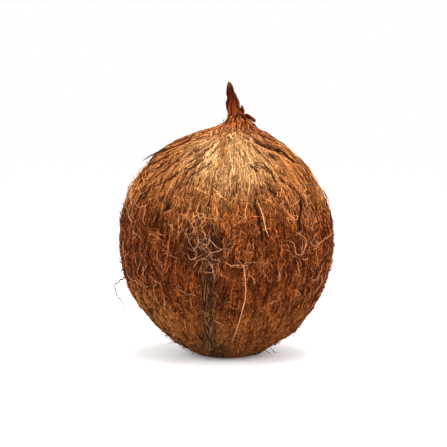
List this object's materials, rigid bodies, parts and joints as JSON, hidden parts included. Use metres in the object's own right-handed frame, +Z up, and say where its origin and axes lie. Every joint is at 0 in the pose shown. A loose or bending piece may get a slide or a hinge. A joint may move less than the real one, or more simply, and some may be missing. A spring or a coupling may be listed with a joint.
{
  "type": "coconut",
  "caption": "Brown coconut in its hairy coir coat, round with a slightly pointed crown and a twisted tuft of husk at the stalk end, standing on a small flat spot.",
  "frame": {"origin": "middle of the base, on the surface that the coconut stands on", "axes": "+Z up along the nut's axis, from the base to the tuft; -Y is the front, and +X is to the right seen from the front"},
  "size_m": [0.1204, 0.1168, 0.153],
  "materials": {
    "husk": "matte coir fibre, golden tan at the crown and red-brown below"
  },
  "bodies": {
    "root": {"coconut": "husk"}
  },
  "joints": []
}
